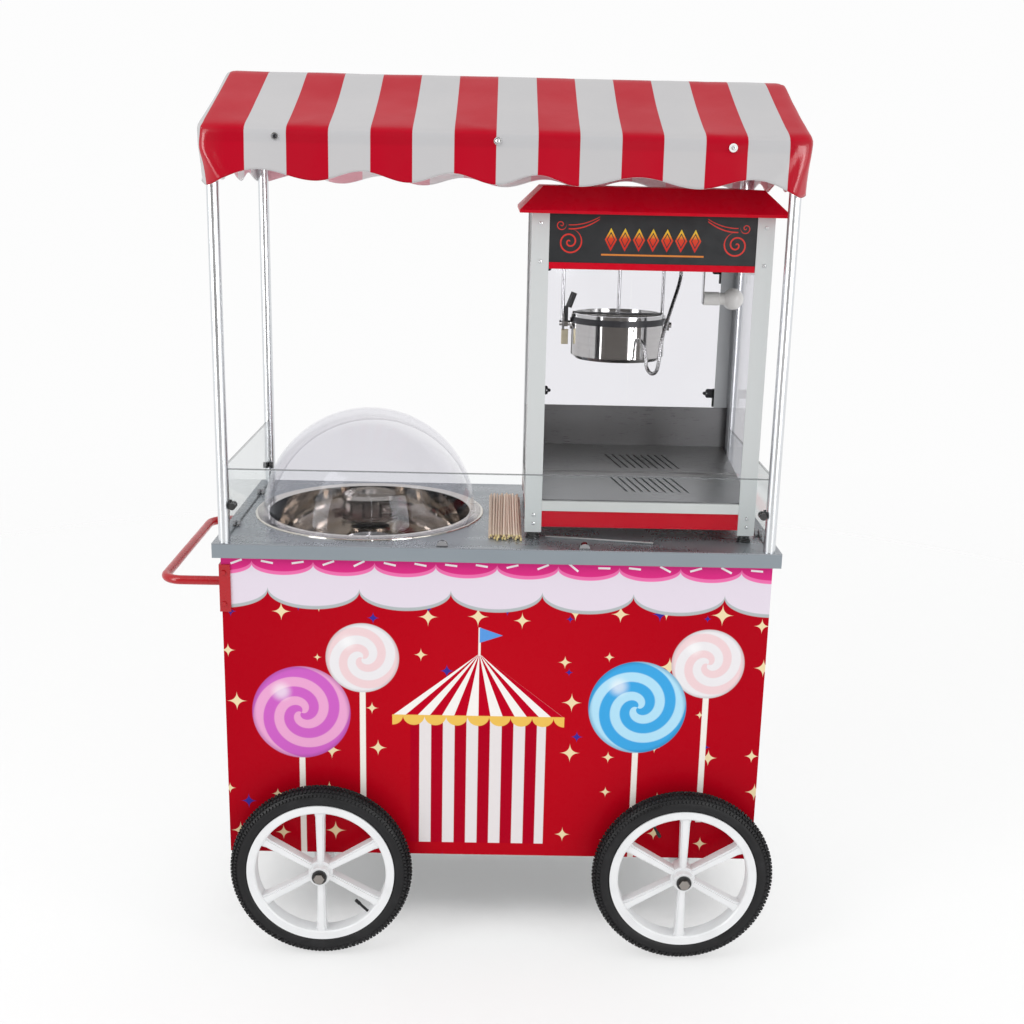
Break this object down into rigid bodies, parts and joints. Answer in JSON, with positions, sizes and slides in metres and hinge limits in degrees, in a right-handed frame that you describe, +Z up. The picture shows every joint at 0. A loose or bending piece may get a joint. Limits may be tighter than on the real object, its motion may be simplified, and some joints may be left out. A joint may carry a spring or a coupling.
{
  "type": "cotton candy cart",
  "caption": "Wheeled street food cart: printed cabinet with worktop, candy floss bowl under a clear dome, popcorn cabinet with tilting kettle, push handle and striped canopy.",
  "frame": {"origin": "on the ground under the middle of the whole cart", "axes": "+Z up, -Y towards the customers at the printed front, +X towards the popcorn end, the push handle at -X"},
  "size_m": [1.366, 0.75, 1.92],
  "materials": {
    "frame_paint": "white powder coat",
    "front_print": "printed red sheet",
    "plain_steel": "satin",
    "bowl_steel": "polished",
    "worktop_film": "satin sheet under blue-grey film",
    "wheel_white": "moulded",
    "tyre": "knobby rubber",
    "red_paint": "gloss red",
    "clear_acrylic": "clear",
    "pane_glass": "clear",
    "bright_aluminium": "bright drawn",
    "popper_white": "white",
    "black_plastic": "moulded",
    "clip_metal": "chromed with black knobs",
    "rocker_red": "moulded",
    "motor_black": "black enamel",
    "canopy_cloth": "red and white striped coated cloth",
    "stick_wood": "plain",
    "header_black": "black",
    "hinge_black": "black",
    "rod_chrome": "bright",
    "lamp_white": "frosted bulb in a pale socket"
  },
  "bodies": {
    "cart": {"cabinet_frame": "frame_paint", "end_panels": "frame_paint", "back_panel": "frame_paint", "front_panel": "front_print", "axles": "plain_steel", "floor_panel": "plain_steel", "motor_bracket": "plain_steel", "post_stubs": "plain_steel", "cabinet_hinges": "plain_steel", "popper_deck": "plain_steel", "kick_panel": "plain_steel", "stir_motor": "plain_steel", "candy_bowl": "bowl_steel", "worktop": "worktop_film", "push_handle": "red_paint", "popper_base": "red_paint", "popper_roof": "red_paint", "guard_sheets": "clear_acrylic", "popper_panes": "pane_glass", "canopy_posts": "bright_aluminium", "canopy_frame": "bright_aluminium", "popper_frame": "popper_white", "axle_nuts": "black_plastic", "control_box": "black_plastic", "popper_feet": "black_plastic", "guard_fittings": "clip_metal", "candy_motor": "motor_black", "canopy_cover": "canopy_cloth", "candy_sticks": "stick_wood", "popper_header": "header_black", "popper_hinges": "hinge_black", "kettle_hanger": "rod_chrome", "kettle_conduit": "rod_chrome", "heat_lamp": "lamp_white"},
    "wheel_front_left": {"rim_front_left": "wheel_white", "tyre_front_left": "tyre"},
    "wheel_front_right": {"rim_front_right": "wheel_white", "tyre_front_right": "tyre"},
    "wheel_rear_left": {"rim_rear_left": "wheel_white", "tyre_rear_left": "tyre"},
    "wheel_rear_right": {"rim_rear_right": "wheel_white", "tyre_rear_right": "tyre"},
    "cabinet_door_left": {"cabinet_door_left": "frame_paint"},
    "cabinet_door_right": {"cabinet_door_right": "frame_paint"},
    "dome": {"candy_dome": "clear_acrylic"},
    "spinner": {"spinner_head": "bright_aluminium"},
    "motor_switch": {"motor_switch": "rocker_red"},
    "heat_switch": {"heat_switch": "rocker_red"},
    "heat_knob": {"heat_knob": "black_plastic"},
    "popper_door_left": {"popper_door_left": "clear_acrylic"},
    "popper_door_right": {"popper_door_right": "clear_acrylic"},
    "crumb_drawer": {"crumb_drawer": "plain_steel"},
    "kettle": {"kettle": "bowl_steel"},
    "lid_front": {"lid_front": "bowl_steel"},
    "lid_back": {"lid_back": "bowl_steel"},
    "stirrer": {"stirrer": "plain_steel"},
    "drive_dog": {"drive_dog": "plain_steel"},
    "kettle_switch": {"kettle_switch": "rocker_red"},
    "stir_switch": {"stir_switch": "rocker_red"},
    "lamp_switch": {"lamp_switch": "rocker_red"}
  },
  "joints": [
    {"name": "wheel_front_left_spin", "type": "hinge", "parent": "cart", "child": "wheel_front_left", "pos_m": [-0.328, -0.329, 0.203], "axis": [0, 1, 0], "continuous": true},
    {"name": "wheel_front_right_spin", "type": "hinge", "parent": "cart", "child": "wheel_front_right", "pos_m": [0.48, -0.329, 0.203], "axis": [0, 1, 0], "continuous": true},
    {"name": "wheel_rear_left_spin", "type": "hinge", "parent": "cart", "child": "wheel_rear_left", "pos_m": [-0.328, 0.329, 0.203], "axis": [0, 1, 0], "continuous": true},
    {"name": "wheel_rear_right_spin", "type": "hinge", "parent": "cart", "child": "wheel_rear_right", "pos_m": [0.48, 0.329, 0.203], "axis": [0, 1, 0], "continuous": true},
    {"name": "cabinet_door_left_swing", "type": "hinge", "parent": "cart", "child": "cabinet_door_left", "pos_m": [-0.488, 0.288, 0.636], "axis": [0, 0, 1], "range_deg": [0, 110]},
    {"name": "cabinet_door_right_swing", "type": "hinge", "parent": "cart", "child": "cabinet_door_right", "pos_m": [0.592, 0.288, 0.636], "axis": [0, 0, -1], "range_deg": [0, 110]},
    {"name": "dome_lift", "type": "slide", "parent": "cart", "child": "dome", "axis": [0, 0, 1], "range_m": [0, 0.3]},
    {"name": "spinner_spin", "type": "hinge", "parent": "cart", "child": "spinner", "pos_m": [-0.248, 0.008, 0.84], "axis": [0, 0, 1], "continuous": true},
    {"name": "motor_switch_rock", "type": "hinge", "parent": "cart", "child": "motor_switch", "pos_m": [-0.308, 0.283, 0.882], "axis": [1, 0, 0], "range_deg": [0, 16]},
    {"name": "heat_switch_rock", "type": "hinge", "parent": "cart", "child": "heat_switch", "pos_m": [-0.248, 0.283, 0.882], "axis": [1, 0, 0], "range_deg": [0, 16]},
    {"name": "heat_knob_turn", "type": "hinge", "parent": "cart", "child": "heat_knob", "pos_m": [-0.188, 0.29, 0.882], "axis": [0, 1, 0], "range_deg": [0, 270]},
    {"name": "popper_door_left_swing", "type": "hinge", "parent": "cart", "child": "popper_door_left", "pos_m": [0.146, 0.201, 1.353], "axis": [0, 0, 1], "range_deg": [0, 95]},
    {"name": "popper_door_right_swing", "type": "hinge", "parent": "cart", "child": "popper_door_right", "pos_m": [0.574, 0.201, 1.353], "axis": [0, 0, -1], "range_deg": [0, 95]},
    {"name": "crumb_drawer_slide", "type": "slide", "parent": "cart", "child": "crumb_drawer", "axis": [0, 1, 0], "range_m": [0, 0.28]},
    {"name": "kettle_tilt", "type": "hinge", "parent": "cart", "child": "kettle", "pos_m": [0.313, -0.012, 1.397], "axis": [1, 0, 0], "range_deg": [0, 100], "deforming": ["kettle_conduit"]},
    {"name": "lid_front_lift", "type": "hinge", "parent": "kettle", "child": "lid_front", "pos_m": [0.313, -0.025, 1.418], "axis": [-1, 0, 0], "range_deg": [0, 75]},
    {"name": "lid_back_lift", "type": "hinge", "parent": "kettle", "child": "lid_back", "pos_m": [0.313, 0.001, 1.418], "axis": [1, 0, 0], "range_deg": [0, 75]},
    {"name": "drive_dog_spin", "type": "hinge", "parent": "cart", "child": "drive_dog", "pos_m": [0.313, -0.012, 1.526], "axis": [0, 0, 1], "continuous": true},
    {"name": "stirrer_spin", "type": "hinge", "parent": "kettle", "child": "stirrer", "pos_m": [0.313, -0.012, 1.42], "axis": [0, 0, 1], "continuous": true},
    {"name": "kettle_switch_rock", "type": "hinge", "parent": "cart", "child": "kettle_switch", "pos_m": [0.31, 0.1935, 1.587], "axis": [1, 0, 0], "range_deg": [0, 16]},
    {"name": "stir_switch_rock", "type": "hinge", "parent": "cart", "child": "stir_switch", "pos_m": [0.36, 0.1935, 1.587], "axis": [1, 0, 0], "range_deg": [0, 16]},
    {"name": "lamp_switch_rock", "type": "hinge", "parent": "cart", "child": "lamp_switch", "pos_m": [0.41, 0.1935, 1.587], "axis": [1, 0, 0], "range_deg": [0, 16]}
  ],
  "couplings": [
    {"joint": "stirrer_spin", "follows": "drive_dog_spin", "ratio": 1}
  ]
}
